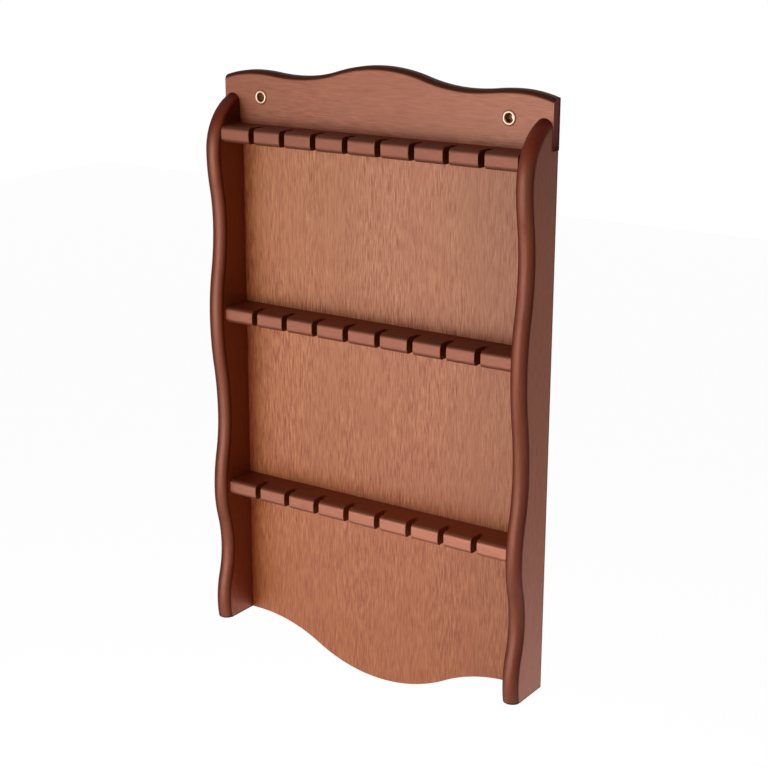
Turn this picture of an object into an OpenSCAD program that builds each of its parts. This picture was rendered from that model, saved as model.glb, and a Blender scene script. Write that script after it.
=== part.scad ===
// Wall rack for souvenir teaspoons. Three slotted rails stand between two waved
// sides, in front of a thin back panel, under a shaped header board that hangs
// from two brass eyelets. Lengths are in millimetres. X runs along the rails,
// the wall is the plane y = 0 with the room towards negative y, and the origin
// lies on the wall midway between the eyelets. Heights are given from the feet.

/* [Spoon slots] */
// Number of spoons on each rail
slots = 8; // [6:1:11]
// Distance from one spoon to the next
slot_pitch = 25; // [20:0.5:30]
// Width of a slot, for the neck of a spoon
slot_w = 4.2; // [4.2:0.1:6]
// Depth of a slot behind the front of its rail
slot_depth = 12; // [9:0.5:14]
// Rounding of a slot's two front corners
mouth_r = 0.6; // [0.4:0.1:2]
// Distance from the first and the last slot to the sides
end_room = 25; // [18:0.5:35]

/* [Rails] */
// Thickness of a rail
rail_t = 11; // [9:0.5:14]
// Rounding of a rail's two front edges
rail_edge_r = 3.2; // [1:0.1:4.4]
// Distance from the wall to the front of the rails
rail_front = 28.2; // [26:0.2:32]
// Height of the bottom rail's underside above the feet
bottom_rail_z = 94; // [70:1:130]
// Rise from the bottom rail to the middle one
lower_rise = 125; // [90:1:150]
// Rise from the middle rail to the top one
upper_rise = 123; // [90:1:150]

/* [Sides] */
// Thickness of a side, whose front edge is a full half round
side_t = 11.8; // [10:0.1:14]
// Distance from the wall to the crests of the waved edge
crest_depth = 34.8; // [32:0.2:40]
// Distance from the wall to the troughs of the waved edge
trough_depth = 28.9; // [26:0.2:30]
// Distance from the wall to the highest crest
top_crest_depth = 33.8; // [31:0.2:38]
// Radius of the curve from the highest crest back to the header
side_top_r = 39; // [32:1:44]
// Height of the lowest crest above the feet
foot_crest_z = 13; // [6:1:24]
// Height of the two middle crests above the undersides of their rails
crest_rise = 3.5; // [0:0.5:8]
// Distance of the highest crest below the top rail's underside
top_crest_drop = 6; // [0:0.5:12]
// Place of the lowest trough between its crests, as a share of the way up
foot_trough = 0.48; // [0.35:0.01:0.65]
// Place of the middle trough between its crests, as a share of the way up
lower_trough = 0.43; // [0.35:0.01:0.65]
// Place of the highest trough between its crests, as a share of the way up
upper_trough = 0.56; // [0.35:0.01:0.65]

/* [Header board] */
// Thickness of the header board
header_t = 8; // [7:0.5:10]
// Height of the header board at its two ends
header_end_h = 31.3; // [28:0.1:34]
// Height of the header board at its two shoulders
shoulder_h = 35.4; // [34.8:0.1:40]
// Height of the header board at its two dips
dip_h = 33.4; // [30:0.1:34.6]
// Height of the header board at its middle
peak_h = 43.4; // [40:0.1:60]
// Distance from an end of the header board to its shoulder
shoulder_inset = 25.8; // [18:0.2:34]
// Distance from an end of the header board to its dip
dip_inset = 58.3; // [46:0.1:66]
// How far the header board stands past each side
header_overhang = 0.5; // [0:0.1:2]
// Rounding of the header board's top front edge
header_edge_r = 3.4; // [1:0.1:5]

/* [Back panel] */
// Thickness of the back panel
panel_t = 3; // [2.4:0.1:4]
// Distance from the wall to the back of the panel
panel_inset = 2.2; // [1:0.1:3]
// Depth of the groove in each side for the panel's edge
groove_depth = 5; // [3:0.5:6]
// Depth of the rounded lobe that hangs below the feet
lobe_drop = 26.9; // [10:0.1:40]
// Straight length of the panel's lower edge next to each side
lobe_inset = 7; // [5:0.5:25]

/* [Hanging eyelets] */
// Distance of an eyelet from the side next to it
eyelet_inset = 18; // [10:0.5:60]
// Height of the eyelets above the header board's lower edge
eyelet_rise = 18; // [12:0.5:22]
// Diameter of the hole through an eyelet
eyelet_bore = 5.6; // [4.5:0.1:7]
// Wall of an eyelet's barrel
eyelet_wall = 0.4; // [0.3:0.05:0.8]
// Outer diameter of an eyelet's rolled rim
rim_d = 9; // [8.4:0.1:12]
// How far an eyelet's rim stands out of the header board
rim_h = 0.9; // [0.5:0.05:1]

/* [Dowels, screws and pins] */
// Diameter of a rail dowel
dowel_d = 6; // [4:0.5:7]
// Length of a rail dowel
dowel_l = 21; // [14:0.5:24]
// How far a rail dowel goes into the side
dowel_in_side = 7.5; // [5:0.5:8]
// Chamfer at both ends of a rail dowel
dowel_chamfer = 0.8; // [0.2:0.1:1.5]
// Diameter of a header screw's shank
screw_d = 3; // [2.5:0.1:3.5]
// Length of a header screw
screw_l = 16; // [12:0.5:18]
// Diameter of a header screw's countersunk head
screw_head_d = 6; // [5:0.1:7]
// Width of each arm of the cross recess in a screw's head
recess_w = 0.8; // [0.5:0.1:1]
// Length of each arm of the cross recess in a screw's head
recess_l = 3.2; // [2:0.1:3.6]
// Depth of the cross recess in a screw's head
recess_depth = 0.9; // [0.4:0.1:1.2]
// Height of the header screws above the header board's lower edge
screw_rise = 8; // [5:0.5:10]
// Diameter of a panel pin
pin_d = 1.2; // [1:0.1:1.6]
// Length of a panel pin below its head
pin_l = 12; // [8:0.5:13]
// Diameter of a panel pin's head
pin_head_d = 2.6; // [2:0.1:3]
// Thickness of a panel pin's head
pin_head_h = 0.6; // [0.4:0.1:0.8]
// Distance of the outer pins from the sides
pin_inset = 37.5; // [24:0.5:60]

/* [Clearances] */
// Gap between the panel and the walls of its groove
panel_gap = 0.1; // [0.05:0.05:0.3]
// Gap between the header board and the sides' notches
notch_gap = 0.1; // [0.05:0.05:0.3]
// Gap all round a dowel, an eyelet, a screw or a pin in its hole
hole_gap = 0.05; // [0.02:0.01:0.15]
// Gap at the blind end of a hole
end_gap = 0.5; // [0.2:0.1:1]

/* [Hidden] */
$fa = 2;
$fs = 0.4;
// What a cut reaches past the wood
over = 1;
// Number of flats along each arc of a waved edge
wave_steps = 5;
// Number of flats along the curve from the highest crest to the header
top_steps = 14;
// Number of flats round the nose of a side
nose_steps = 14;
// Number of flats round the header board's top front edge
edge_steps = 5;
inner_w = (slots - 1) * slot_pitch + 2 * end_room;
side_x = inner_w / 2 + side_t / 2;
header_half = inner_w / 2 + side_t + header_overhang;
panel_front = panel_inset + panel_t;
middle_rail_z = bottom_rail_z + lower_rise;
top_rail_z = middle_rail_z + upper_rise;
header_z = top_rail_z + rail_t;
eyelet_x = inner_w / 2 - eyelet_inset;
eyelet_z = header_z + eyelet_rise;
rail_depth = rail_front - panel_front;
rail_zs = [bottom_rail_z, middle_rail_z, top_rail_z];
dowel_y = -(panel_front + rail_depth / 2);
dowel_in_rail = dowel_l - dowel_in_side;
pin_xs = [-1, 0, 1] * (inner_w / 2 - pin_inset);
nose_r = side_t / 2;
crest_zs = [foot_crest_z, bottom_rail_z + crest_rise, middle_rail_z + crest_rise, top_rail_z - top_crest_drop];
trough_shares = [foot_trough, lower_trough, upper_trough];
header_wood = [0.65, 0.44, 0.36];
side_wood = [0.45, 0.25, 0.19];
rail_wood = [0.6, 0.38, 0.31];
panel_wood = [0.67, 0.46, 0.37];
brass = [0.85, 0.68, 0.42];
beech = [0.85, 0.71, 0.53];
steel = [0.72, 0.73, 0.75];

// Heights are given from the feet, and the origin is level with the eyelets.
module hung() {
    translate([0, 0, -eyelet_z]) children();
}

// Radius of the two equal arcs that join a crest to a trough in an S.
function wave_r(run, height) = (run * run + height * height) / (4 * height);

// A board's edge is a path of [[distance outwards, distance along], angle of its
// outward direction]. Each arc leaves out its first point.
function crest_arc(crest, r, from, to, steps) = [
    for (i = [1 : steps])
        let (a = from + (to - from) * i / steps)
            [[crest.x - r + r * cos(a), crest.y + r * sin(a)], a]
];
function trough_arc(trough, r, from, to, steps) = [
    for (i = [1 : steps])
        let (a = from + (to - from) * i / steps)
            [[trough.x + r - r * cos(a), trough.y - r * sin(a)], a]
];

// The S from one extreme of a wave to the next.
function half_wave(p, q) =
    let (
        run = q.y - p.y,
        r = wave_r(run, abs(q.x - p.x)),
        sweep = asin(run / (2 * r))
    )
    p.x > q.x
        ? concat(crest_arc(p, r, 0, sweep, wave_steps), trough_arc(q, r, sweep, 0, wave_steps))
        : concat(trough_arc(p, r, 0, -sweep, wave_steps), crest_arc(q, r, -sweep, 0, wave_steps));
function wave(extremes) = [for (i = [0 : len(extremes) - 2]) each half_wave(extremes[i], extremes[i + 1])];

// A solid swept along a path, from rings of as many points each. A ring's first
// point sees all the others.
module swept(rings) {
    n = len(rings[0]);
    last = (len(rings) - 1) * n;
    walls = [
        for (i = [0 : len(rings) - 2], j = [0 : n - 1])
            let (a = i * n + j, b = i * n + (j + 1) % n)
                each [[a, b + n, b], [a, a + n, b + n]]
    ];
    caps = [for (j = [1 : n - 2]) each [[0, j, j + 1], [last, last + j + 1, last + j]]];
    polyhedron([for (ring = rings) each ring], concat(walls, caps));
}

// Waved edge of a side from its foot to the header board, drawn with x as the
// distance from the wall and y as the height.
function side_path() =
    let (
        troughs = [
            for (i = [0 : 2])
                [trough_depth, crest_zs[i] + trough_shares[i] * (crest_zs[i + 1] - crest_zs[i])]
        ],
        crests = [for (i = [0 : 3]) [i == 3 ? top_crest_depth : crest_depth, crest_zs[i]]],
        foot_r = wave_r(troughs[0].y - foot_crest_z, crest_depth - trough_depth),
        foot_turn = asin(foot_crest_z / foot_r),
        top_turn = acos((header_t / 2 - top_crest_depth + side_top_r) / side_top_r)
    )
    concat(
        [[[crest_depth - foot_r + foot_r * cos(foot_turn), 0], 0]],
        crest_arc(crests[0], foot_r, -foot_turn, 0, wave_steps),
        wave([crests[0], troughs[0], crests[1], troughs[1], crests[2], troughs[2], crests[3]]),
        crest_arc(crests[3], side_top_r, 0, top_turn, top_steps)
    );
function outward(place) = [cos(place[1]), sin(place[1])];

// Cross section of a side at one point of its path: the back edge along the wall,
// and a full half round nose.
function side_ring(place) =
    let (out = outward(place), heel = place[0] - nose_r * out)
    concat(
        [[0, heel.y, nose_r], [0, heel.y, -nose_r]],
        [
            for (i = [0 : nose_steps])
                let (a = -90 + 180 * i / nose_steps, p = heel + nose_r * cos(a) * out)
                    [p.x, p.y, nose_r * sin(a)]
        ]
    );

// The right side. Its back is notched for the header board, and its inner face
// is grooved for the panel and drilled for the dowels.
module side() {
    difference() {
        translate([side_x, 0, 0])
            rotate([90, 0, -90])
                swept([for (place = side_path()) side_ring(place)]);
        translate([inner_w / 2 - over, -(header_t + notch_gap), header_z - notch_gap])
            cube([side_t + 2 * over, header_t + notch_gap + over, header_z]);
        translate([inner_w / 2 - over, -(panel_front + panel_gap), -over])
            cube([groove_depth + over, panel_t + 2 * panel_gap, header_z + over]);
        for (z = rail_zs)
            translate([inner_w / 2 - over, dowel_y, z + rail_t / 2])
                rotate([0, 90, 0])
                    cylinder(d = dowel_d + 2 * hole_gap, h = dowel_in_side + end_gap + over);
        translate([side_x, -screw_l - end_gap, header_z + screw_rise])
            rotate([-90, 0, 0])
                cylinder(d = screw_d + 2 * hole_gap, h = screw_l);
    }
}

module left_side() {
    color(side_wood)
        hung()
            mirror([1, 0, 0])
                side();
}

module right_side() {
    color(side_wood)
        hung()
            side();
}

// Waved top of the header board from its left end to its right, drawn with x as
// the height and y as the distance from the middle.
function header_path() =
    let (
        shoulder = [shoulder_h, header_half - shoulder_inset],
        dip = [dip_h, header_half - dip_inset],
        fall = shoulder_h - header_end_h,
        end_r = (shoulder_inset * shoulder_inset + fall * fall) / (2 * fall),
        end_turn = asin(shoulder_inset / end_r)
    )
    concat(
        [[[header_end_h, -header_half], 0]],
        crest_arc([shoulder.x, -shoulder.y], end_r, -end_turn, 0, wave_steps),
        wave([[shoulder.x, -shoulder.y], [dip.x, -dip.y], [peak_h, 0], dip, shoulder]),
        [for (i = [1 : wave_steps - 1]) each crest_arc(shoulder, end_r, 0, end_turn * i / wave_steps, 1)],
        [[[header_end_h, header_half], 0]]
    );

// Cross section of the header board at one point of its path, with its top
// front corner rounded.
function header_ring(place) =
    let (tip = place[0], out = outward(place))
    concat(
        [[0, tip.y, 0], [0, tip.y, -header_t]],
        [
            for (i = [0 : edge_steps])
                let (a = 90 * i / edge_steps, p = tip - header_edge_r * (1 - sin(a)) * out)
                    [p.x, p.y, header_edge_r * (1 - cos(a)) - header_t]
        ],
        [[tip.x, tip.y, 0]]
    );

// The header board lies on the top rail and in the sides' notches.
module header_board() {
    color(header_wood)
        hung()
            difference() {
                translate([0, 0, header_z])
                    rotate([-90, 0, 0])
                        rotate([0, 0, -90])
                            swept([for (place = header_path()) header_ring(place)]);
                for (x = [-eyelet_x, eyelet_x])
                    translate([x, -header_t - over, eyelet_z])
                        rotate([-90, 0, 0])
                            cylinder(d = eyelet_bore + 2 * (eyelet_wall + hole_gap), h = header_t + 2 * over);
                for (x = [-side_x, side_x])
                    translate([x, 0, header_z + screw_rise])
                        screw_hole();
            }
}

// Hole of a header screw, from the back of the header board at y = 0.
module screw_hole() {
    rotate([90, 0, 0]) {
        translate([0, 0, -over])
            cylinder(d = screw_d + 2 * hole_gap, h = header_t + 2 * over);
        cylinder(d1 = screw_head_d + 2 * hole_gap, d2 = screw_d + 2 * hole_gap, h = (screw_head_d - screw_d) / 2);
    }
}

// The thin back panel runs in the sides' grooves up to the header board. Its
// lower edge sinks in an S on each side to a round lobe.
module back_panel() {
    panel_half = inner_w / 2 + groove_depth - panel_gap;
    lobe_half = inner_w / 2 - lobe_inset;
    lobe = wave([[0, -lobe_half], [lobe_drop, 0], [0, lobe_half]]);
    outline = concat(
        [[panel_half, 0], [panel_half, header_z - panel_gap], [-panel_half, header_z - panel_gap]],
        [[-panel_half, 0], [-lobe_half, 0]],
        [for (place = lobe) [place[0].y, -place[0].x]]
    );
    color(panel_wood)
        hung()
            difference() {
                translate([0, -panel_inset, 0])
                    rotate([90, 0, 0])
                        linear_extrude(panel_t)
                            polygon(outline);
                for (z = rail_zs, x = pin_xs)
                    translate([x, -panel_inset, z + rail_t / 2])
                        pin_hole();
            }
}

// Hole of a panel pin, from the back of the panel at y = 0.
module pin_hole() {
    rotate([90, 0, 0]) {
        translate([0, 0, -over])
            cylinder(d = pin_d + 2 * hole_gap, h = pin_l + pin_head_h + end_gap + over);
        translate([0, 0, -over])
            cylinder(d = pin_head_d + 2 * hole_gap, h = pin_head_h + over);
    }
}

// Cross section of a rail, drawn with y as the height and the wall at x = 0,
// to the right of the rail.
module rail_profile() {
    for (y = [rail_edge_r, rail_t - rail_edge_r])
        translate([rail_edge_r - rail_front, y])
            circle(rail_edge_r);
    translate([-rail_front, rail_edge_r])
        square([rail_depth, rail_t - 2 * rail_edge_r]);
    translate([rail_edge_r - rail_front, 0])
        square([rail_depth - rail_edge_r, rail_t]);
}

// Plan of a slot, with the rail's front along y = 0 and the wall towards
// positive y. Its mouth is flared by two round corners.
module slot_plan() {
    translate([-slot_w / 2, -over])
        square([slot_w, slot_depth - slot_w / 2 + over]);
    translate([0, slot_depth - slot_w / 2])
        circle(slot_w / 2);
    difference() {
        translate([-slot_w / 2 - mouth_r, -over])
            square([slot_w + 2 * mouth_r, over + mouth_r]);
        for (x = [-1, 1] * (slot_w / 2 + mouth_r))
            translate([x, mouth_r])
                circle(mouth_r);
    }
}

module rail(z) {
    color(rail_wood)
        hung()
            translate([0, 0, z])
                difference() {
                    translate([-inner_w / 2, 0, 0])
                        rotate([90, 0, 90])
                            linear_extrude(inner_w)
                                rail_profile();
                    for (i = [0 : slots - 1])
                        translate([end_room - inner_w / 2 + i * slot_pitch, -rail_front, -over])
                            linear_extrude(rail_t + 2 * over)
                                slot_plan();
                    for (way = [-1, 1])
                        translate([way * inner_w / 2, dowel_y, rail_t / 2])
                            rotate([0, -way * 90, 0])
                                translate([0, 0, -over])
                                    cylinder(d = dowel_d + 2 * hole_gap, h = dowel_in_rail + end_gap + over);
                    for (x = pin_xs)
                        translate([x, -panel_inset, rail_t / 2])
                            pin_hole();
                }
}

module top_rail() {
    rail(top_rail_z);
}

module middle_rail() {
    rail(middle_rail_z);
}

module bottom_rail() {
    rail(bottom_rail_z);
}

// An eyelet pressed in from the front: a thin barrel through the header board and
// a rolled rim. It is drawn with x as the radius and y as the distance in front of
// the header.
module eyelet(x) {
    bore_r = eyelet_bore / 2;
    rim_w = rim_d / 2 - bore_r;
    color(brass)
        hung()
            translate([x, -header_t, eyelet_z])
                rotate([90, 0, 0])
                    rotate_extrude() {
                        translate([bore_r, -header_t])
                            square([eyelet_wall, header_t]);
                        intersection() {
                            translate([bore_r + rim_w / 2, rim_h - rim_w / 2])
                                circle(rim_w / 2);
                            translate([bore_r, 0])
                                square([rim_w, rim_h]);
                        }
                        translate([bore_r, 0])
                            square([eyelet_wall, rim_h - rim_w / 2]);
                    }
}

module left_eyelet() {
    eyelet(-eyelet_x);
}

module right_eyelet() {
    eyelet(eyelet_x);
}

// A chamfered dowel along x, half in the side and half in the rail.
module dowel() {
    r = dowel_d / 2;
    rotate([0, 90, 0])
        rotate_extrude()
            polygon([[0, 0], [r - dowel_chamfer, 0], [r, dowel_chamfer], [r, dowel_l - dowel_chamfer],
                [r - dowel_chamfer, dowel_l], [0, dowel_l]]);
}

module rail_dowels() {
    color(beech)
        hung()
            for (z = rail_zs, way = [0, 1])
                mirror([way, 0, 0])
                    translate([inner_w / 2 - dowel_in_rail, dowel_y, z + rail_t / 2])
                        dowel();
}

// A countersunk screw from the back of the header board into a side.
module header_screw() {
    head_h = (screw_head_d - screw_d) / 2;
    tip_h = screw_d / 2;
    rotate([90, 0, 0])
        difference() {
            union() {
                cylinder(d1 = screw_head_d, d2 = screw_d, h = head_h);
                translate([0, 0, head_h])
                    cylinder(d = screw_d, h = screw_l - head_h - tip_h);
                translate([0, 0, screw_l - tip_h])
                    cylinder(d1 = screw_d, d2 = screw_d / 4, h = tip_h);
            }
            for (turn = [0, 90])
                rotate([0, 0, turn])
                    translate([-recess_l / 2, -recess_w / 2, -over])
                        cube([recess_l, recess_w, recess_depth + over]);
        }
}

module header_screws() {
    color(steel)
        hung()
            for (x = [-side_x, side_x])
                translate([x, 0, header_z + screw_rise])
                    header_screw();
}

// A panel pin from the back of the panel into a rail, with its head let in.
module panel_pin() {
    rotate([90, 0, 0]) {
        cylinder(d = pin_head_d, h = pin_head_h);
        cylinder(d = pin_d, h = pin_head_h + pin_l);
    }
}

module panel_pins() {
    color(steel)
        hung()
            for (z = rail_zs, x = pin_xs)
                translate([x, -panel_inset, z + rail_t / 2])
                    panel_pin();
}

header_board();
left_side();
right_side();
back_panel();
top_rail();
middle_rail();
bottom_rail();
left_eyelet();
right_eyelet();
rail_dowels();
header_screws();
panel_pins();
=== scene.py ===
import math
from collections import namedtuple

import bmesh
import bpy
from mathutils import Matrix, Vector

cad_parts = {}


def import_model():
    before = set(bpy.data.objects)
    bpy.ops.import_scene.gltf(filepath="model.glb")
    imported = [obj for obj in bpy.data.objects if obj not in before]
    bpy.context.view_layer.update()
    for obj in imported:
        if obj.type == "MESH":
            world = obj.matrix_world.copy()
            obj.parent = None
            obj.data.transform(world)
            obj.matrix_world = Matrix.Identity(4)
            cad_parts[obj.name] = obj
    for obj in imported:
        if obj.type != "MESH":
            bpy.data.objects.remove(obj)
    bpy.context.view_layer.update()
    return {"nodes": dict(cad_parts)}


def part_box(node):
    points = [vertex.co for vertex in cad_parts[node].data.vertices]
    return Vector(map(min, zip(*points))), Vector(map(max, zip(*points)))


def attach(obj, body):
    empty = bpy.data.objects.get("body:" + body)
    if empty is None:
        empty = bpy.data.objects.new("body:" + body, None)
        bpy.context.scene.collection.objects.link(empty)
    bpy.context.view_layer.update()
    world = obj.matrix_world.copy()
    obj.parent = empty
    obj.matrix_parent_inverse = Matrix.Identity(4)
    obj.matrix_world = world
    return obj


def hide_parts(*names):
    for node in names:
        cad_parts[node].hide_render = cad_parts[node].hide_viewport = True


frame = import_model()
scene = bpy.context.scene

# Every length below is in millimetres in the part's frame: X to the right, the wall
# at Y = 0 with the room towards negative Y, Z up from the eyelets.
MM = 0.001


def cad(node):
    """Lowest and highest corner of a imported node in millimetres."""
    low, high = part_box(node)
    return low / MM, high / MM


side_low, side_high = cad("right_side")
header_low, header_high = cad("header_board")
panel_low, panel_high = cad("back_panel")
rail_low = cad("top_rail")[0]
eyelet_low, eyelet_high = cad("right_eyelet")
RAILS = ("top_rail", "middle_rail", "bottom_rail")

inner_half = side_low.x
side_t = side_high.x - side_low.x
side_x = inner_half + side_t / 2
nose_r = side_t / 2
foot_z = side_low.z
crest_depth = -side_low.y
header_t = -header_low.y
header_half = header_high.x
header_z = header_low.z
peak_h = header_high.z - header_z
panel_front = -panel_low.y
panel_back = -panel_high.y
rail_front = -rail_low.y
eyelet_x = (eyelet_low.x + eyelet_high.x) / 2
eyelet_rim_r = (eyelet_high.x - eyelet_low.x) / 2

# Waves of the sides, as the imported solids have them.
TROUGH_DEPTH = 28.9
TOP_CREST_DEPTH = 33.8
SIDE_TOP_R = 39
FOOT_CREST = 13
CREST_RISE = 3.5
TOP_CREST_DROP = 6
TROUGH_SHARES = (0.48, 0.43, 0.56)

# Waves of the header board.
END_H = 31.3
SHOULDER_H = 35.4
DIP_H = 33.4
SHOULDER_INSET = 25.8
DIP_INSET = 58.3
HEADER_EDGE_R = 3.4

# Slots of the rails.
SLOTS = 8
SLOT_PITCH = 25
SLOT_W = 4.2
SLOT_DEPTH = 12
MOUTH_R = 0.6
RAIL_EDGE_R = 3.2

# The panel's groove and lobe, and the header's notch.
GROOVE_DEPTH = 5
GROOVE_GAP = 0.1
NOTCH_GAP = 0.1
LOBE_INSET = 7

# Holes for the eyelets, screws, pins and dowels.
EYELET_HOLE_R = 3.25
SCREW_RISE = 8
SCREW_HOLE_R = 1.55
SCREW_HEAD_R = 3.05
SCREW_HOLE_L = 17
PIN_INSET = 37.5
PIN_HEAD_R = 1.35
PIN_HEAD_H = 0.6
DOWEL_R = 3.05
DOWEL_IN_SIDE = 8
DOWEL_IN_RAIL = 14

# How far a cutter reaches past what it cuts.
OVER = 1
CONE_OVER = 0.5

# How near a plane an edge counts as on it, and how far off it as beside it.
NEAR = 0.1
BESIDE = 1

# Points of a mesh that are nearer than this are one.
SAME_POINT = 0.0001

# Widths of the eased arrises.
SIDE_EASE = 0.4
HEADER_EASE = 0.3
PANEL_EASE = 0.35
RAIL_EASE = 0.45

# How much of a rail's ends stays sharp, against the sides.
RAIL_END_KEPT = 3

# Steps along each curve, and points round a hole.
WAVE_STEPS = 14
TOP_STEPS = 30
LOBE_STEPS = 24
NOSE_STEPS = 22
HEADER_EDGE_STEPS = 10
RAIL_EDGE_STEPS = 16
SLOT_END_STEPS = 12
MOUTH_STEPS = 8
HOLE_SIDES = 48
PIN_HOLE_SIDES = 32


def wave_r(run, height):
    """Radius of the two equal arcs that join a crest to a trough."""
    return (run * run + height * height) / (4 * height)


def crest_arc(crest, r, start, stop, steps):
    """Points and outward angles along a crest, without the first one."""
    out = []
    for i in range(1, steps + 1):
        a = start + (stop - start) * i / steps
        out.append((crest[0] - r + r * math.cos(a), crest[1] + r * math.sin(a), a))
    return out


def trough_arc(trough, r, start, stop, steps):
    """Points and outward angles along a trough, without the first one."""
    out = []
    for i in range(1, steps + 1):
        a = start + (stop - start) * i / steps
        out.append((trough[0] + r - r * math.cos(a), trough[1] - r * math.sin(a), a))
    return out


def wave(extremes, steps):
    """The S curves from one extreme of a wave to the next."""
    path = []
    for p, q in zip(extremes, extremes[1:]):
        run = q[1] - p[1]
        r = wave_r(run, abs(q[0] - p[0]))
        sweep = math.asin(run / (2 * r))
        if p[0] > q[0]:
            path += crest_arc(p, r, 0, sweep, steps) + trough_arc(q, r, sweep, 0, steps)
        else:
            path += trough_arc(p, r, 0, -sweep, steps) + crest_arc(q, r, -sweep, 0, steps)
    return path


def new_object(name, bm):
    """An object in metres from a mesh in millimetres, with its double points merged."""
    bmesh.ops.remove_doubles(bm, verts=bm.verts, dist=SAME_POINT)
    bmesh.ops.recalc_face_normals(bm, faces=bm.faces)
    mesh = bpy.data.meshes.new(name)
    bmesh.ops.scale(bm, vec=(MM, MM, MM), verts=bm.verts)
    bm.to_mesh(mesh)
    bm.free()
    obj = bpy.data.objects.new(name, mesh)
    scene.collection.objects.link(obj)
    return obj


def loft(name, rings):
    """A closed solid through rings of as many points each."""
    bm = bmesh.new()
    rows = [[bm.verts.new(p) for p in ring] for ring in rings]
    n = len(rows[0])
    for low, high in zip(rows, rows[1:]):
        for j in range(n):
            k = (j + 1) % n
            bm.faces.new((low[j], low[k], high[k], high[j]))
    bm.faces.new(list(reversed(rows[0])))
    bm.faces.new(rows[-1])
    return new_object(name, bm)


def cylinder(axis, centre, start, stop, r, r_stop=None, sides=HOLE_SIDES):
    """A round cutter along an axis (0, 1 or 2) from start to stop."""
    u, v = [i for i in range(3) if i != axis]
    rings = []
    for along, radius in ((start, r), (stop, r if r_stop is None else r_stop)):
        ring = []
        for i in range(sides):
            a = 2 * math.pi * i / sides
            p = [0.0, 0.0, 0.0]
            p[axis] = along
            p[u] = centre[0] + radius * math.cos(a)
            p[v] = centre[1] + radius * math.sin(a)
            ring.append(p)
        rings.append(ring)
    return loft("cutter", rings)


def block(low, high):
    """A square cutter between two corners."""
    rings = []
    for z in (low[2], high[2]):
        front = [(low[0], low[1], z), (high[0], low[1], z)]
        back = [(high[0], high[1], z), (low[0], high[1], z)]
        rings.append(front + back)
    return loft("cutter", rings)


def baked(obj):
    """Replaces an object's mesh by what its modifiers make of it."""
    depsgraph = bpy.context.evaluated_depsgraph_get()
    mesh = bpy.data.meshes.new_from_object(obj.evaluated_get(depsgraph))
    obj.modifiers.clear()
    old = obj.data
    obj.data = mesh
    bpy.data.meshes.remove(old)
    obj.data.name = obj.name
    return obj


def cut(obj, cutters):
    """Cuts solids out of an object and deletes them."""
    for cutter in cutters:
        step = obj.modifiers.new("cut", "BOOLEAN")
        step.operation = "DIFFERENCE"
        step.solver = "EXACT"
        step.object = cutter
    baked(obj)
    for cutter in cutters:
        bpy.data.objects.remove(cutter)
    return obj


def ease(obj, width, keep, segments=3, sharp=35):
    """Rounds the sharp arrises for which keep(middle, a, b) is true, in millimetres."""
    bm = bmesh.new()
    bm.from_mesh(obj.data)
    weight = bm.edges.layers.float.new("bevel_weight_edge")
    for edge in bm.edges:
        if len(edge.link_faces) != 2 or edge.calc_face_angle(0) < math.radians(sharp):
            continue
        a, b = (v.co / MM for v in edge.verts)
        if keep((a + b) / 2, a, b):
            edge[weight] = 1
    bm.to_mesh(obj.data)
    bm.free()
    bevel = obj.modifiers.new("ease", "BEVEL")
    bevel.limit_method = "WEIGHT"
    bevel.width = width * MM
    bevel.segments = segments
    bevel.use_clamp_overlap = False
    baked(obj)
    return obj


def smooth(obj, sharp=50):
    """Smooth shading with the flat faces kept flat."""
    obj.data.shade_smooth()
    obj.data.set_sharp_from_angle(angle=math.radians(sharp))
    weighted = obj.modifiers.new("normals", "WEIGHTED_NORMAL")
    weighted.keep_sharp = True
    weighted.weight = 90
    return obj


def place(obj, node, slot, material):
    """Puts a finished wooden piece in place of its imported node."""
    obj.data.materials.clear()
    obj.data.materials.append(material)
    smooth(obj)
    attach(obj, "root")
    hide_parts(node)
    return obj


# The pieces.


def rail_foot(node):
    """Height of a rail's underside above the feet."""
    return cad(node)[0].z - foot_z


def side_path():
    """Waved edge of a side: distance from the wall, height above the feet, angle."""
    top, middle, bottom = (rail_foot(node) for node in RAILS)
    heights = (FOOT_CREST, bottom + CREST_RISE, middle + CREST_RISE, top - TOP_CREST_DROP)
    crests = [(crest_depth, h) for h in heights[:3]] + [(TOP_CREST_DEPTH, heights[3])]
    troughs = [
        (TROUGH_DEPTH, heights[i] + share * (heights[i + 1] - heights[i]))
        for i, share in enumerate(TROUGH_SHARES)
    ]
    foot_r = wave_r(troughs[0][1] - FOOT_CREST, crest_depth - TROUGH_DEPTH)
    foot_turn = math.asin(FOOT_CREST / foot_r)
    top_turn = math.acos((header_t / 2 - TOP_CREST_DEPTH + SIDE_TOP_R) / SIDE_TOP_R)
    path = [(crest_depth - foot_r + foot_r * math.cos(foot_turn), 0, 0)]
    path += crest_arc(crests[0], foot_r, -foot_turn, 0, WAVE_STEPS)
    extremes = [crests[0]]
    for trough, crest in zip(troughs, crests[1:]):
        extremes += [trough, crest]
    path += wave(extremes, WAVE_STEPS)
    path += crest_arc(crests[3], SIDE_TOP_R, 0, top_turn, TOP_STEPS)
    return path


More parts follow.
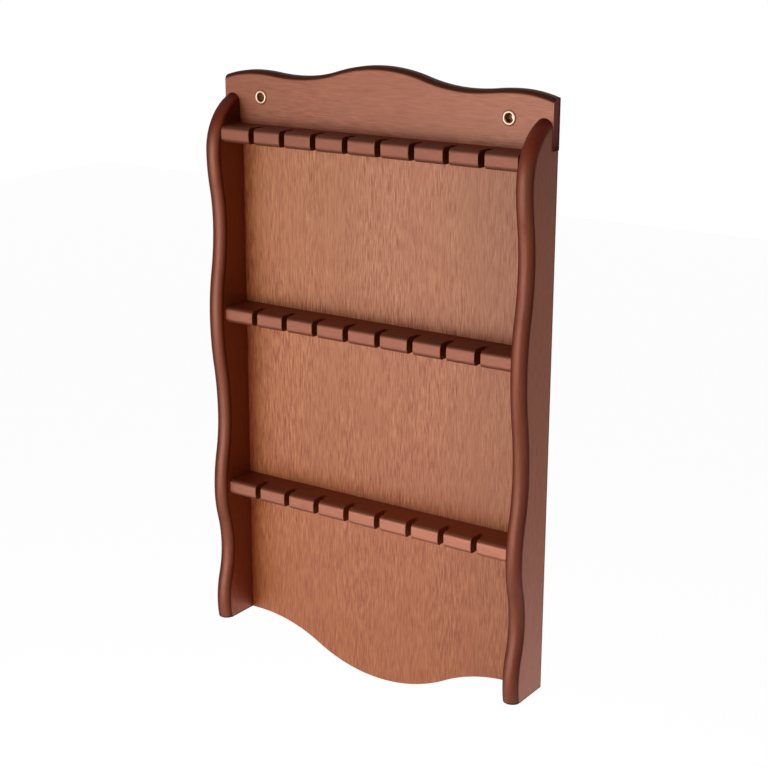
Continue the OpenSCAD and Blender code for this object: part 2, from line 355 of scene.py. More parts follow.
def side(name, way, material):
    """A waved side with its groove, notch and dowel holes. way is 1 on the right."""
    rings = []
    for depth, height, angle in side_path():
        out = (math.cos(angle), math.sin(angle))
        heel = (depth - nose_r * out[0], height - nose_r * out[1])
        z = heel[1] + foot_z
        ring = [(way * (side_x + nose_r), 0, z), (way * (side_x - nose_r), 0, z)]
        for i in range(NOSE_STEPS + 1):
            a = math.pi * (i / NOSE_STEPS - 0.5)
            reach = nose_r * math.cos(a)
            x = way * (side_x + nose_r * math.sin(a))
            ring.append((x, -(heel[0] + reach * out[0]), heel[1] + reach * out[1] + foot_z))
        rings.append(ring)
    obj = loft(name, rings)
    inner = way * (inner_half - OVER)
    outer = way * (inner_half + side_t + OVER)
    notch = sorted((inner, outer))
    notch_low = (notch[0], -header_t - NOTCH_GAP, header_z - NOTCH_GAP)
    notch_high = (notch[1], OVER, header_high.z)
    groove = sorted((inner, way * (inner_half + GROOVE_DEPTH)))
    groove_low = (groove[0], -panel_front - GROOVE_GAP, foot_z - OVER)
    groove_high = (groove[1], -panel_back + GROOVE_GAP, header_z + OVER)
    cutters = [block(notch_low, notch_high), block(groove_low, groove_high)]
    for node in RAILS:
        low, high = cad(node)
        middle = ((low.y + high.y) / 2, (low.z + high.z) / 2)
        cutters.append(cylinder(0, middle, inner, way * (inner_half + DOWEL_IN_SIDE), DOWEL_R))
    screw_at = (way * side_x, header_z + SCREW_RISE)
    cutters.append(cylinder(1, screw_at, -SCREW_HOLE_L, OVER, SCREW_HOLE_R))
    cut(obj, cutters)

    def arris(middle, a, b):
        in_groove = abs(middle.x) < inner_half + GROOVE_DEPTH + NEAR and middle.y > -panel_front - BESIDE
        foot = middle.z < foot_z + NEAR
        back = middle.y > -NEAR
        return back or (foot and not in_groove)

    ease(obj, SIDE_EASE, arris)
    return place(obj, name, "side_wood", material)


def header_path():
    """Waved top of the header board: height, distance from the middle, angle."""
    shoulder = (SHOULDER_H, header_half - SHOULDER_INSET)
    dip = (DIP_H, header_half - DIP_INSET)
    fall = SHOULDER_H - END_H
    end_r = (SHOULDER_INSET ** 2 + fall ** 2) / (2 * fall)
    turn = math.asin(SHOULDER_INSET / end_r)
    extremes = [(SHOULDER_H, -shoulder[1]), (DIP_H, -dip[1]), (peak_h, 0), dip, shoulder]
    path = [(END_H, -header_half, 0)]
    path += crest_arc((SHOULDER_H, -shoulder[1]), end_r, -turn, 0, WAVE_STEPS)
    path += wave(extremes, WAVE_STEPS)
    path += crest_arc(shoulder, end_r, 0, turn, WAVE_STEPS)[:-1]
    path.append((END_H, header_half, 0))
    return path


def header(material):
    """The header board with its round top front edge and its holes."""
    rings = []
    for height, across, angle in header_path():
        out = (math.cos(angle), math.sin(angle))
        ring = [(across, 0, header_z), (across, -header_t, header_z)]
        for i in range(HEADER_EDGE_STEPS + 1):
            a = math.pi / 2 * i / HEADER_EDGE_STEPS
            back = HEADER_EDGE_R * (1 - math.sin(a))
            y = HEADER_EDGE_R * (1 - math.cos(a)) - header_t
            ring.append((across - back * out[1], y, header_z + height - back * out[0]))
        ring.append((across, 0, header_z + height))
        rings.append(ring)
    obj = loft("header_board", rings)
    through = (-header_t - OVER, OVER)
    head_h = SCREW_HEAD_R - SCREW_HOLE_R
    sink = (-head_h - CONE_OVER, CONE_OVER, SCREW_HOLE_R - CONE_OVER, SCREW_HEAD_R + CONE_OVER)
    cutters = []
    for way in (-1, 1):
        screw_at = (way * side_x, header_z + SCREW_RISE)
        cutters.append(cylinder(1, (way * eyelet_x, 0), *through, EYELET_HOLE_R))
        cutters.append(cylinder(1, screw_at, *through, SCREW_HOLE_R))
        cutters.append(cylinder(1, screw_at, *sink))
    cut(obj, cutters)

    def arris(middle, a, b):
        end = abs(middle.x) > header_half - NEAR
        back_top = middle.y > -NEAR and middle.z > header_z + END_H - BESIDE
        return end or back_top

    ease(obj, HEADER_EASE, arris)
    return place(obj, "header_board", "header_wood", material)


def panel(material):
    """The back panel with its round lobe and the sunk heads' holes."""
    half = panel_high.x
    lobe_half = inner_half - LOBE_INSET
    drop = foot_z - panel_low.z
    outline = [(half, foot_z), (half, panel_high.z), (-half, panel_high.z), (-half, foot_z)]
    outline.append((-lobe_half, foot_z))
    for down, across, _ in wave([(0, -lobe_half), (drop, 0), (0, lobe_half)], LOBE_STEPS):
        outline.append((across, foot_z - down))
    rings = [[(x, y, z) for x, z in outline] for y in (-panel_front, -panel_back)]
    obj = loft("back_panel", rings)
    cutters = []
    for node in RAILS:
        low, high = cad(node)
        for x in (PIN_INSET - inner_half, 0, inner_half - PIN_INSET):
            at = (x, (low.z + high.z) / 2)
            cutters.append(cylinder(1, at, -panel_back - PIN_HEAD_H, 0, PIN_HEAD_R, sides=PIN_HOLE_SIDES))
    cut(obj, cutters)

    def arris(middle, a, b):
        return middle.z < foot_z + NEAR and abs(a.y - b.y) < NEAR

    ease(obj, PANEL_EASE, arris)
    return place(obj, "back_panel", "panel_wood", material)


def slot_cutter(x, low_z, high_z):
    """A spoon's slot, round at its inner end and flared at its mouth."""
    half = SLOT_W / 2
    end = rail_front - SLOT_DEPTH + half
    outline = []
    for i in range(SLOT_END_STEPS + 1):
        a = math.pi * i / SLOT_END_STEPS
        outline.append((x + half * math.cos(a), -end + half * math.sin(a)))
    flare = []
    for i in range(MOUTH_STEPS + 1):
        a = math.pi / 2 * i / MOUTH_STEPS
        flare.append((half + MOUTH_R * (1 - math.cos(a)), -rail_front + MOUTH_R * (1 - math.sin(a))))
    mouth_half = flare[-1][0]
    outline += [(x - u, v) for u, v in flare]
    outline += [(x - mouth_half, -rail_front - OVER), (x + mouth_half, -rail_front - OVER)]
    outline += [(x + u, v) for u, v in reversed(flare)]
    return loft("cutter", [[(u, v, z) for u, v in outline] for z in (low_z, high_z)])


def rail(node, material):
    """A rail with a round front, its slots and its dowel holes."""
    low, high = cad(node)
    profile = [(high.y, low.z)]
    for start, centre_z in ((0.5, low.z + RAIL_EDGE_R), (1, high.z - RAIL_EDGE_R)):
        for i in range(RAIL_EDGE_STEPS + 1):
            a = math.pi * (start + 0.5 * i / RAIL_EDGE_STEPS)
            y = RAIL_EDGE_R - rail_front + RAIL_EDGE_R * math.cos(a)
            profile.append((y, centre_z - RAIL_EDGE_R * math.sin(a)))
    profile.append((high.y, high.z))
    rings = [[(x, y, z) for y, z in profile] for x in (low.x, high.x)]
    obj = loft(node, rings)
    first = -(SLOTS - 1) * SLOT_PITCH / 2
    cutters = [slot_cutter(first + i * SLOT_PITCH, low.z - OVER, high.z + OVER) for i in range(SLOTS)]
    dowel_at = ((low.y + high.y) / 2, (low.z + high.z) / 2)
    for way in (-1, 1):
        start = way * (inner_half + OVER)
        stop = way * (inner_half - DOWEL_IN_RAIL)
        cutters.append(cylinder(0, dowel_at, start, stop, DOWEL_R))
    cut(obj, cutters)

    def arris(middle, a, b):
        return abs(middle.x) < inner_half - RAIL_END_KEPT and middle.y < -panel_front - BESIDE

    ease(obj, RAIL_EASE, arris)
    return place(obj, node, "rail_wood", material)


# Materials.

# Noise in the wood: cells per metre along the grain and across it, detail, roughness.
CLOUDS = (6, 24, 2.0, 0.5)
BANDS = (5, 150, 3.0, 0.6)
STREAKS = (45, 380, 2.0, 0.55)
PATCHES = (9, 32, 2.0, 0.5)
FIBRE_DETAIL = (3.0, 0.6)
PORE_ACROSS = 1100
PORE_DETAIL = (1.0, 0.5)

# Each noise lies at a place of its own, so that no two of them run together.
BAND_SHIFT = 3
STREAK_SHIFT = 5
FIBRE_SHIFT = 7
PORE_SHIFT = 17
PATCH_SHIFT = 23

# Where the noise counts: between these values it goes from none to full.
CLOUDY = (0.34, 0.66)
GRAINY = (0.25, 0.75)
PATCHY = (0.36, 0.62)
PORE = (0.56, 0.7)
BLOTCHY = (0.46, 0.6)
WEAR = (0.3, 0.7)

# How much of the colour's change the clouds give, and the bands the rest.
CLOUD_SHARE = 0.45

# The fine grain's strength in its faint and in its strong patches.
PATCH_STRENGTH = (0.5, 1.3)

# Roughness of the stained wood in the grain's valleys and on its ridges.
WOOD_ROUGHNESS = (0.62, 0.54)

# Strength of the relief, its height in millimetres and how deep a pore is in it.
RELIEF_STRENGTH = 0.25
RELIEF = 0.12
PORE_SINK = 0.6

# A normal's share along an axis, from where it starts to count to where it is full:
# for the flat face of a side, and for end grain.
FLAT_ON = (0.965, 0.995)
END_ON = (0.75, 0.95)

# Colour of the stain in the pores, and colours of the painted shade on faces that look up and on faces that
# look down.
PORE_STAIN = (0.15, 0.045, 0.022)
TOP_SHADE_COLOUR = (0.075, 0.015, 0.006)
UNDER_SHADE_COLOUR = (0.05, 0.01, 0.004)

# Over how much of a normal's Z the painted shade on upward and on downward faces comes in.
UPWARD_FADE = 0.3
DOWNWARD_FADE = 0.6

# The painted shade on the flanks of a side's round edge leaves a bright strip, which faces a little to the
# right of the front.
STRIP_LEAN = 0.24

# The lacquer's index of refraction, and the specular level at which it counts in full.
LACQUER_IOR = 2.355
FULL_SPECULAR = 0.5
WHITE = (1.0, 1.0, 1.0)

# A part of a piece where the stain or the lacquer differs, and the parts with painted shade and painted
# light: its mask, what it multiplies the colour by, and what it multiplies the gloss and the coat by.
Tone = namedtuple("Tone", "mask tint gloss coat")


def add(tree, kind, inputs=None, **settings):
    """A shader node with its settings, its values and the sockets it takes."""
    node = tree.nodes.new("ShaderNode" + kind)
    for key, value in settings.items():
        setattr(node, key, value)
    for key, value in (inputs or {}).items():
        if isinstance(value, bpy.types.NodeSocket):
            tree.links.new(value, node.inputs[key])
        else:
            node.inputs[key].default_value = value
    return node


def new_material(name):
    """An empty material and its node tree, with the output and the surface shader."""
    material = bpy.data.materials.new(name)
    material.use_nodes = True
    tree = material.node_tree
    tree.nodes.clear()
    shader = add(tree, "BsdfPrincipled")
    output = add(tree, "OutputMaterial")
    tree.links.new(shader.outputs[0], output.inputs["Surface"])
    return material, tree, shader


def math_node(tree, operation, a, b=0.0):
    """One operation on two values."""
    return add(tree, "Math", {0: a, 1: b}, operation=operation).outputs[0]


def times(tree, a, b):
    """The product of two values, or where two masks overlap."""
    return math_node(tree, "MULTIPLY", a, b)


def size_of(tree, value):
    """A value without its sign."""
    return math_node(tree, "ABSOLUTE", value)


def level(tree, value, low, high, out_low=0.0, out_high=1.0):
    """Maps a value from one range to another, and clamps it."""
    inputs = {"Value": value, "From Min": low, "From Max": high, "To Min": out_low, "To Max": out_high}
    return add(tree, "MapRange", inputs).outputs["Result"]


def rising(tree, place, start, stop):
    """A mask that is 0 up to start and 1 from stop on, both in millimetres."""
    return level(tree, place, start * MM, stop * MM)


def falling(tree, place, start, stop):
    """A mask that is 1 up to start and 0 from stop on, both in millimetres."""
    return level(tree, place, start * MM, stop * MM, 1.0, 0.0)


def scaled(tree, mask, factor):
    """1 outside a mask and the factor where it is full."""
    return level(tree, mask, 0.0, 1.0, 1.0, factor)


def parts_of(tree, source, kind):
    """X, Y and Z of the place (Object) or of the direction (Normal) of the surface."""
    return add(tree, "SeparateXYZ", {0: source.outputs[kind]}).outputs


def rgb(colour):
    """A colour as a socket takes it."""
    return (*colour, 1.0)


def mix(tree, factor, a, b, blend="MIX"):
    """Mixes two colours, each a socket or a colour of three numbers."""
    node = add(tree, "Mix", {"Factor": factor}, data_type="RGBA", blend_type=blend)
    for key, value in ((6, a), (7, b)):
        if isinstance(value, bpy.types.NodeSocket):
            tree.links.new(value, node.inputs[key])
        else:
            node.inputs[key].default_value = rgb(value)
    return node.outputs[2]


def noise(tree, coords, grain, along, across, detail, roughness, shift):
    """Noise stretched along the grain, with cells per metre along and across it."""
    scale = [across, across, across]
    scale[grain] = along
    mapping = add(tree, "Mapping", {"Vector": coords, "Scale": scale, "Location": (shift, shift, shift)})
    inputs = {"Vector": mapping.outputs[0], "Scale": 1.0, "Detail": detail, "Roughness": roughness}
    return add(tree, "TexNoise", inputs).outputs["Fac"]


def stained_wood(
    name, grain, light, dark, shift,
    streak=0.1, fibre=0.16, cells=(140, 780), fleck=0.3, pore_run=120, shares=(0.85, 1.15, 1.45),
    coat=0.6, coat_rough=0.38, sheen=(1.0, 0.34, 0.2),
    top=0.0, top_from=0.1, under=0.0, under_from=-0.15, end=0.6, end_stain=(0.055, 0.014, 0.006),
    toning=None,
):
    """Satin lacquered wood in a reddish brown stain. grain is the axis it runs along.

    streak, fibre and fleck are how strong the broad and the fine grain and the pores
    are, and shares how much of the grain red, green and blue take. cells are the fine
    grain's cells per metre along and across it, and pore_run is the pores' along it.
    top and under are how dark the painted shade is on faces that look up and on faces
    that look down, and end how dark the stain is on end grain, where the lacquer has sunk
    in; the lacquer is dulled under the painted shade too. toning is a function that gives
    the tones of one piece, painted shade and painted light among them."""
    material, tree, shader = new_material(name)
    source = add(tree, "TexCoord")
    coords = source.outputs["Object"]
    clouds = noise(tree, coords, grain, *CLOUDS, shift)
    bands = noise(tree, coords, grain, *BANDS, shift + BAND_SHIFT)
    streaks = noise(tree, coords, grain, *STREAKS, shift + STREAK_SHIFT)
    fibres = noise(tree, coords, grain, *cells, *FIBRE_DETAIL, shift + FIBRE_SHIFT)
    pores = noise(tree, coords, grain, pore_run, PORE_ACROSS, *PORE_DETAIL, shift + PORE_SHIFT)
    patches = noise(tree, coords, grain, *PATCHES, shift + PATCH_SHIFT)

    cloudy = times(tree, clouds, CLOUD_SHARE)
    cloudy = math_node(tree, "ADD", cloudy, times(tree, bands, 1 - CLOUD_SHARE))
    colour = mix(tree, level(tree, cloudy, *CLOUDY), dark, light)
    broad = level(tree, streaks, *GRAINY, -streak, streak)
    narrow = level(tree, fibres, *GRAINY, -fibre, fibre)
    narrow = times(tree, narrow, level(tree, patches, *PATCHY, *PATCH_STRENGTH))
    streaky = math_node(tree, "ADD", broad, narrow)
    shades = {}
    for i, share in enumerate(shares):
        shades[i] = math_node(tree, "ADD", times(tree, streaky, share), 1.0)
    colour = mix(tree, 1.0, colour, add(tree, "CombineColor", shades).outputs[0], "MULTIPLY")
    pore = level(tree, pores, *PORE)
    colour = mix(tree, times(tree, pore, fleck), colour, PORE_STAIN)

    direction = parts_of(tree, source, "Normal")
    cross_cut = level(tree, size_of(tree, direction[grain]), *END_ON, 0.0, end)
    colour = mix(tree, cross_cut, colour, end_stain)
    # Painted shade: darker on faces that look up and on faces that look down.
    upward = level(tree, direction[2], top_from, top_from + UPWARD_FADE, 0.0, top)
    colour = mix(tree, upward, colour, TOP_SHADE_COLOUR)
    downward = level(tree, direction[2], under_from - DOWNWARD_FADE, under_from, under, 0.0)
    colour = mix(tree, downward, colour, UNDER_SHADE_COLOUR)

    gloss = 1.0
    coat_weight = coat
    for tone in toning(tree, source) if toning else ():
        colour = mix(tree, tone.mask, colour, tone.tint, "MULTIPLY")
        gloss = times(tree, gloss, scaled(tree, tone.mask, tone.gloss))
        coat_weight = times(tree, coat_weight, scaled(tree, tone.mask, tone.coat))
    # sunk: end grain, where the lacquer has sunk in, and the faces with painted shade, where the lacquer is
    # dulled.
    sunk = math_node(tree, "MAXIMUM", math_node(tree, "MAXIMUM", upward, downward), cross_cut)
    lacquer = level(tree, sunk, 0.0, 1.0, 1.0, 0.0)

    tree.links.new(colour, shader.inputs["Base Color"])
    tree.links.new(level(tree, fibres, *WEAR, *WOOD_ROUGHNESS), shader.inputs["Roughness"])
    height = math_node(tree, "SUBTRACT", fibres, times(tree, pore, PORE_SINK))
    bump = {"Height": height, "Strength": RELIEF_STRENGTH, "Distance": RELIEF * MM}
    tree.links.new(add(tree, "Bump", bump).outputs[0], shader.inputs["Normal"])
    specular = times(tree, lacquer, times(tree, gloss, FULL_SPECULAR))
    tree.links.new(specular, shader.inputs["Specular IOR Level"])
    shader.inputs["IOR"].default_value = LACQUER_IOR
    shader.inputs["Specular Tint"].default_value = rgb(sheen)
    if coat:
        tree.links.new(times(tree, lacquer, coat_weight), shader.inputs["Coat Weight"])
        shader.inputs["Coat Roughness"].default_value = coat_rough
    return material


def nose_tones(tree, x, z, normal):
    """Tones of a side's round edge: darker all over, with painted shade that is redder and duller on its
    flanks, and redder and duller at its top. The left one has painted shade on its outer flank and
    painted light where the lamps meet it."""
    facing_out = size_of(tree, normal[0])
    round_edge = level(tree, facing_out, *FLAT_ON, 1.0, 0.0)
    in_front = level(tree, normal[1], 0.2, 0.5, 1.0, 0.0)
    round_edge = times(tree, round_edge, in_front)
    lean = times(tree, normal[0], STRIP_LEAN)
    turned = level(tree, math_node(tree, "SUBTRACT", normal[1], lean), -0.92, -0.5)
    # Painted shade on the flanks of the round edge, less of it at the top.
    flank = times(tree, round_edge, turned)
    below_top = level(tree, z, (header_z - 12) * MM, (header_z + 4) * MM, 1.0, 0.35)
    flank = times(tree, flank, below_top)
    left_nose = times(tree, round_edge, falling(tree, x, -1, 1))
    # Painted shade on the left round edge's outer flank.
    outer_left_shade = times(tree, left_nose, level(tree, normal[0], -0.3, 0.14, 1.0, 0.0))
    # Painted light where the lamps meet the left round edge.
    painted_left_light = times(tree, left_nose, level(tree, normal[0], 0.15, 0.5))
    high = times(tree, round_edge, rising(tree, z, header_z - 8, header_z + 6))
    return (
        Tone(round_edge, tint=(0.62, 0.51, 0.5), gloss=0.84, coat=4.4),
        Tone(high, tint=(1.25, 0.62, 0.36), gloss=0.68, coat=0.22),
        Tone(flank, tint=(1.15, 0.58, 0.45), gloss=0.1, coat=0.0),
        Tone(outer_left_shade, tint=(0.85, 0.5, 0.5), gloss=0.4, coat=0.1),
        Tone(painted_left_light, tint=(1.1, 1.15, 1.15), gloss=1.25, coat=1.6),
    )


def side_toning(tree, source):
    """Tones of a side's round edge, and painted shade high on its outer face, inside the case, in the
    inner corner beside the header board, along the back edge and at the foot."""
    x, y, z = parts_of(tree, source, "Object")
    normal = parts_of(tree, source, "Normal")
    facing_out = size_of(tree, normal[0])
    # Painted shade inside the case.
    inside = falling(tree, size_of(tree, x), inner_half + 0.1, inner_half + 1.5)
    outward = math_node(tree, "SUBTRACT", level(tree, facing_out, *FLAT_ON), inside)
    # Painted shade high on the outer face, which is lighter towards the foot.
    outer_high_shade = times(tree, outward, rising(tree, z, header_z - 55, header_z + 5))
    outer_high_shade = math_node(tree, "MAXIMUM", outer_high_shade, 0.0)
    # Painted shade in the inner corner beside the header board.
    corner = times(tree, inside, rising(tree, z, header_z - 2, header_z + 3))
    # Painted shade along the back edge.
    back = times(tree, rising(tree, y, -1.8, -0.8), level(tree, facing_out, 0.5, 0.9))
    # Painted shade along the foot.
    foot = falling(tree, z, foot_z + 0.7, foot_z + 1.5)
    return (
        *nose_tones(tree, x, z, normal),
        Tone(outer_high_shade, tint=(0.86, 0.82, 0.8), gloss=0.72, coat=0.7),
        Tone(inside, tint=(0.78, 0.6, 0.4), gloss=0.95, coat=0.4),
        Tone(corner, tint=(0.45, 0.35, 0.3), gloss=0.4, coat=0.0),
        Tone(back, tint=(0.36, 0.24, 0.24), gloss=0.25, coat=0.0),
        Tone(foot, tint=(0.4, 0.27, 0.27), gloss=0.25, coat=0.0),
    )


def eyelet_shadow(tree, x, z):
    """A painted shadow: a dark ring on the header board, close round each eyelet."""
    aside = math_node(tree, "SUBTRACT", size_of(tree, x), eyelet_x * MM)
    across = math_node(tree, "POWER", aside, 2.0)
    upright = math_node(tree, "POWER", z, 2.0)
    from_centre = math_node(tree, "SQRT", math_node(tree, "ADD", across, upright))
    from_rim = math_node(tree, "SUBTRACT", from_centre, eyelet_rim_r * MM)
    return falling(tree, from_rim, 0.1, 0.9)


def header_toning(tree, source):
    """Painted shade at the header's left, a painted shadow round the eyelets and low in its corners beside
    the sides, a painted shadow at the foot of its ends and painted shade on its ends near the wall, and
    painted light at its right."""
    x, y, z = parts_of(tree, source, "Object")
    # Painted shade at the left.
    left = falling(tree, x, -header_half, -20)
    # Painted light at the right.
    right = rising(tree, x, 20, 80)
    # Painted shadow round each eyelet.
    rim = eyelet_shadow(tree, x, z)
    # Painted shadow low in the corners beside the sides.
    beside_side = rising(tree, size_of(tree, x), inner_half - 7, inner_half)
    corner = times(tree, beside_side, falling(tree, z, header_z + 2, header_z + 18))
    end_face = level(tree, size_of(tree, parts_of(tree, source, "Normal")[0]), *END_ON)
    # Painted shadow at the foot of each end, at the joint, and painted shade on each end near the wall.
    end_joint_shadow = times(tree, end_face, falling(tree, z, header_z + 0.5, header_z + 5))
    end_back_shade = times(tree, end_face, rising(tree, y, -3.2, -1.2))
    return (
        Tone(left, tint=(0.8, 0.76, 0.72), gloss=0.92, coat=0.85),
        Tone(right, tint=(1.06, 1.12, 1.12), gloss=1.05, coat=1.1),
        Tone(rim, tint=(0.5, 0.34, 0.3), gloss=0.5, coat=0.4),
        Tone(corner, tint=(0.62, 0.42, 0.3), gloss=0.55, coat=0.3),
        Tone(end_joint_shadow, tint=(0.35, 0.25, 0.25), gloss=0.3, coat=0.2),
        Tone(end_back_shade, tint=(0.45, 0.3, 0.35), gloss=0.3, coat=0.2),
    )


def panel_toning(tree, source):
    """Painted shadow of the left side at the panel's left, warmer stain over its left half and towards the
    lobe, and painted shade at its right, more of it high up.
    """
    x, _, z = parts_of(tree, source, "Object")
    # Painted shadow of the left side.
    left = falling(tree, x, -inner_half, 9 - inner_half)
    warm = falling(tree, x, -inner_half, 15)
    lower = falling(tree, z, foot_z, header_z - 30)
    # Painted shade at the right, more of it high up.
    right = rising(tree, x, inner_half - 75, inner_half - 10)
    upper_right_shade = times(tree, right, rising(tree, z, header_z - 150, header_z - 40))
    return (
        Tone(left, tint=(0.82, 0.52, 0.38), gloss=0.72, coat=0.3),
        Tone(warm, tint=(1.06, 1.0, 0.72), gloss=1.0, coat=0.84),
        Tone(lower, tint=(0.97, 0.7, 0.5), gloss=1.0, coat=0.9),
        Tone(right, tint=(0.76, 0.82, 0.9), gloss=0.92, coat=0.92),
        Tone(upper_right_shade, tint=(0.84, 0.82, 0.82), gloss=0.88, coat=0.88),
    )


def rail_toning(tree, source):
    """Redder and brighter colour behind the front of a rail, painted shade on its slots' walls behind the
    front, painted light at the lowest rail's right, and painted shade on the top rail."""
    x, y, z = parts_of(tree, source, "Object")
    bottom = cad("bottom_rail")[1].z
    middle = cad("middle_rail")[0].z
    behind = rising(tree, y, 3.2 - rail_front, 4.4 - rail_front)
    # Painted light at the lowest rail's right.
    painted_light_low_right = times(tree, falling(tree, z, bottom, middle), rising(tree, x, -inner_half, 40))
    # Painted shade on the top rail.
    highest = rising(tree, z, middle, rail_low.z)
    # Painted shade on the slots' walls that face the front, behind the rail's front.
    facing_front = level(tree, parts_of(tree, source, "Normal")[1], -0.5, -0.15, 1.0, 0.0)
    slot_shade = times(tree, behind, facing_front)
    return (
        Tone(behind, tint=(1.4, 1.1, 0.85), gloss=0.9, coat=0.2),
        Tone(slot_shade, tint=(0.4, 0.3, 0.25), gloss=0.1, coat=0.0),
        Tone(painted_light_low_right, tint=(1.65, 1.85, 1.9), gloss=1.42, coat=1.65),
        Tone(highest, tint=(0.82, 0.82, 0.8), gloss=0.9, coat=0.85),
    )


def worn(tree, wear, colour, least):
    """A colour with fine wear, which takes it down to a least share."""
    shade = level(tree, wear, *WEAR, least, 1.0)
    grey = add(tree, "CombineColor", {0: shade, 1: shade, 2: shade}).outputs[0]
    return mix(tree, 1.0, colour, grey, "MULTIPLY")


def metal(name, colour, roughness, brushed):
    """Metal with fine wear in its colour and its gloss."""
    material, tree, shader = new_material(name)
    coords = add(tree, "TexCoord").outputs["Object"]
    wear = add(tree, "TexNoise", {"Vector": coords, "Scale": 900.0, "Detail": 4.0}).outputs["Fac"]
    tree.links.new(worn(tree, wear, colour, 0.82), shader.inputs["Base Color"])
    rough = level(tree, wear, *WEAR, roughness + brushed, roughness)
    tree.links.new(rough, shader.inputs["Roughness"])
    shader.inputs["Metallic"].default_value = 1.0
    return material


def eyelet_brass(name, ring, tarnish, rubbed, edge):
    """Bright pale brass at the rim, and blotched brown tarnish down in the barrel."""
    material, tree, shader = new_material(name)
    coords = add(tree, "TexCoord").outputs["Object"]
    wear = add(tree, "TexNoise", {"Vector": coords, "Scale": 700.0, "Detail": 3.0}).outputs["Fac"]
    depth = add(tree, "SeparateXYZ", {0: coords}).outputs[1]
    inside = rising(tree, depth, -(header_t + 0.3), -(header_t - 0.3))
    blotches = add(tree, "TexNoise", {"Vector": coords, "Scale": 420.0, "Detail": 1.0}).outputs["Fac"]
    barrel = mix(tree, level(tree, blotches, *BLOTCHY), tarnish, rubbed)
    colour = mix(tree, inside, ring, barrel)
    tree.links.new(worn(tree, wear, colour, 0.85), shader.inputs["Base Color"])
    tree.links.new(level(tree, inside, 0.0, 1.0, 0.38, 0.65), shader.inputs["Roughness"])
    tree.links.new(mix(tree, inside, WHITE, edge), shader.inputs["Specular Tint"])
    shader.inputs["Metallic"].default_value = 1.0
    return material


# Along the grain: 0 for a board that lies across the rack, 2 for an upright one.
header_wood = stained_wood(
    "header_wood", 0, light=(0.27, 0.083, 0.032), dark=(0.23, 0.07, 0.0258), shift=1.0,
    streak=0.22, fibre=0.62, cells=(85, 1250), fleck=0.22,
    coat=0.56, top=0.9, end=0.9, end_stain=(0.3, 0.035, 0.028), toning=header_toning)
side_wood = stained_wood(
    "side_wood", 2, light=(0.194, 0.046, 0.0165), dark=(0.169, 0.04, 0.0144), shift=5.0,
    streak=0.15, fibre=0.25, fleck=0.1,
    coat=0.09, coat_rough=0.32, sheen=(1.0, 0.28, 0.13), under=0.8, toning=side_toning)
rail_wood = stained_wood(
    "rail_wood", 0, light=(0.22, 0.0575, 0.022), dark=(0.19, 0.049, 0.018), shift=9.0,
    streak=0.15, fibre=0.25, fleck=0.1,
    coat=0.5, top=0.66, top_from=0.34, under=0.5, under_from=0.0, toning=rail_toning)
panel_wood = stained_wood(
    "panel_wood", 2, light=(0.375, 0.158, 0.067), dark=(0.32, 0.13, 0.051), shift=13.0,
    streak=0.2, fibre=0.84, cells=(110, 1500), fleck=0.32, pore_run=90, shares=(0.8, 1.3, 1.85),
    coat=0.54, under=0.9, toning=panel_toning)
beech = stained_wood(
    "raw_beech", 0, light=(0.66, 0.46, 0.28), dark=(0.56, 0.37, 0.21), shift=21.0,
    coat=0.0, end=0.3, end_stain=(0.4, 0.26, 0.14))
brass = eyelet_brass(
    "eyelet_brass", ring=(0.82, 0.54, 0.4),
    tarnish=(0.12, 0.035, 0.009), rubbed=(0.5, 0.33, 0.16), edge=(0.6, 0.26, 0.09))
steel = metal("zinc_steel", (0.62, 0.62, 0.64), roughness=0.32, brushed=0.15)

header(header_wood)
side("left_side", -1, side_wood)
side("right_side", 1, side_wood)
panel(panel_wood)
for node in RAILS:
    rail(node, rail_wood)
for node, finish in (
    ("left_eyelet", brass),
    ("right_eyelet", brass),
    ("header_screws", steel),
    ("panel_pins", steel),
    ("rail_dowels", beech),
):
    frame["nodes"][node].material_slots[0].material = finish

# Floor, light and camera.

# The floor's half width and its depth below the panel, its colour and its own light.
FLOOR_HALF = 6000
FLOOR_DROP = 900
FLOOR_GREY = (0.8, 0.8, 0.8)
FLOOR_ROUGHNESS = 0.9
FLOOR_GLOW = 0.94

# How bright the background is off a glossy surface, and as light on the rack.
GLOSSY_SHARE = 0.6
FILL_LIGHT = 0.01

# Where the lamps look: near the rack's middle.
LAMP_AIM = (0, 0, -190)

# The photograph's camera: its angles in degrees, then its place, sensor and lens.
CAMERA_AZIMUTH = 34.025
CAMERA_ELEVATION = 16.343
CAMERA_ROLL = 0.184
CAMERA_PLACE = (583.28, -865.24, 122.0)
SENSOR_W = 36
LENS = 76.48


def background_rays(tree):
    """1 for the camera and through glass, less off a glossy surface, and 0 otherwise."""
    rays = add(tree, "LightPath")
    straight = math_node(tree, "MAXIMUM", rays.outputs["Is Camera Ray"], rays.outputs["Is Transmission Ray"])
    glossy = times(tree, rays.outputs["Is Glossy Ray"], GLOSSY_SHARE)
    return math_node(tree, "MAXIMUM", straight, glossy)


def floor():
    """A plain pale floor well below the rack."""
    z = panel_low.z - FLOOR_DROP
    corners = [(-1, -1), (1, -1), (1, 1), (-1, 1)]
    bm = bmesh.new()
    bm.faces.new([bm.verts.new((x * FLOOR_HALF, y * FLOOR_HALF, z)) for x, y in corners])
    obj = new_object("floor", bm)
    material, tree, shader = new_material("pale_floor")
    shader.inputs["Base Color"].default_value = rgb(FLOOR_GREY)
    shader.inputs["Roughness"].default_value = FLOOR_ROUGHNESS
    shader.inputs["Emission Color"].default_value = rgb(WHITE)
    glow = times(tree, background_rays(tree), FLOOR_GLOW)
    tree.links.new(glow, shader.inputs["Emission Strength"])
    obj.data.materials.append(material)


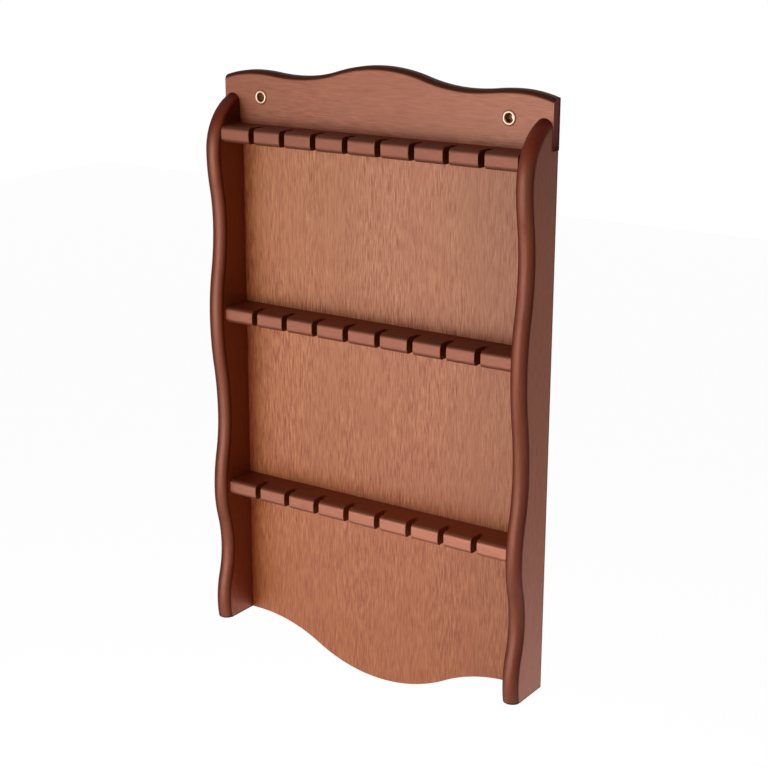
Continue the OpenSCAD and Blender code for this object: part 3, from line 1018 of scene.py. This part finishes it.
def world():
    """White behind the rack, and a very dim grey light all round."""
    sky = bpy.data.worlds.new("studio")
    scene.world = sky
    sky.use_nodes = True
    tree = sky.node_tree
    tree.nodes.clear()
    light = level(tree, background_rays(tree), 0.0, 1.0, FILL_LIGHT, 1.0)
    sky_light = add(tree, "Background", {"Color": rgb(WHITE), "Strength": light})
    output = add(tree, "OutputWorld")
    tree.links.new(sky_light.outputs[0], output.inputs["Surface"])


def direction_of(azimuth, elevation):
    """The direction from the rack at an azimuth, 0 in front and 90 at the right."""
    a = math.radians(azimuth)
    e = math.radians(elevation)
    return Vector((math.sin(a) * math.cos(e), -math.cos(a) * math.cos(e), math.sin(e)))


def lamp(name, azimuth, elevation, distance, size, power, aim=LAMP_AIM):
    """A square soft box that looks at a point."""
    towards = direction_of(azimuth, elevation)
    light = bpy.data.lights.new(name, "AREA")
    light.shape = "RECTANGLE"
    light.size = size * MM
    light.size_y = size * MM
    light.energy = power
    obj = bpy.data.objects.new(name, light)
    obj.location = (Vector(aim) + towards * distance) * MM
    obj.rotation_euler = towards.to_track_quat("Z", "Y").to_euler()
    scene.collection.objects.link(obj)


def camera():
    """The photograph's view: a camera with an azimuth, an elevation and a slight roll."""
    azimuth = math.radians(CAMERA_AZIMUTH)
    roll = math.radians(CAMERA_ROLL)
    back = direction_of(CAMERA_AZIMUTH, CAMERA_ELEVATION)
    level_right = Vector((math.cos(azimuth), math.sin(azimuth), 0))
    level_up = back.cross(level_right)
    right = math.cos(roll) * level_right + math.sin(roll) * level_up
    up = math.cos(roll) * level_up - math.sin(roll) * level_right
    lens = bpy.data.cameras.new("camera")
    lens.sensor_width = SENSOR_W
    lens.lens = LENS
    obj = bpy.data.objects.new("camera", lens)
    axes = Matrix((right, up, back)).transposed().to_4x4()
    obj.matrix_world = Matrix.Translation(Vector(CAMERA_PLACE) * MM) @ axes
    scene.collection.objects.link(obj)
    scene.camera = obj


floor()
world()
lamp("key", azimuth=0, elevation=-5, distance=1500, size=900, power=6.8)
lamp("key_left", azimuth=-34, elevation=-16, distance=1500, size=900, power=4.2)
lamp("key_high", azimuth=-18, elevation=5, distance=1500, size=900, power=4.9)
lamp("back_right", azimuth=140, elevation=-15, distance=1500, size=900, power=0.9)
lamp("back_low", azimuth=146, elevation=-50, distance=1200, size=900, power=4.8)
right_foot = (side_high.x, 0, foot_z)
lamp("foot_right", azimuth=100, elevation=-50, distance=500, size=400, power=0.3, aim=right_foot)
camera()
scene.view_settings.view_transform = "Standard"
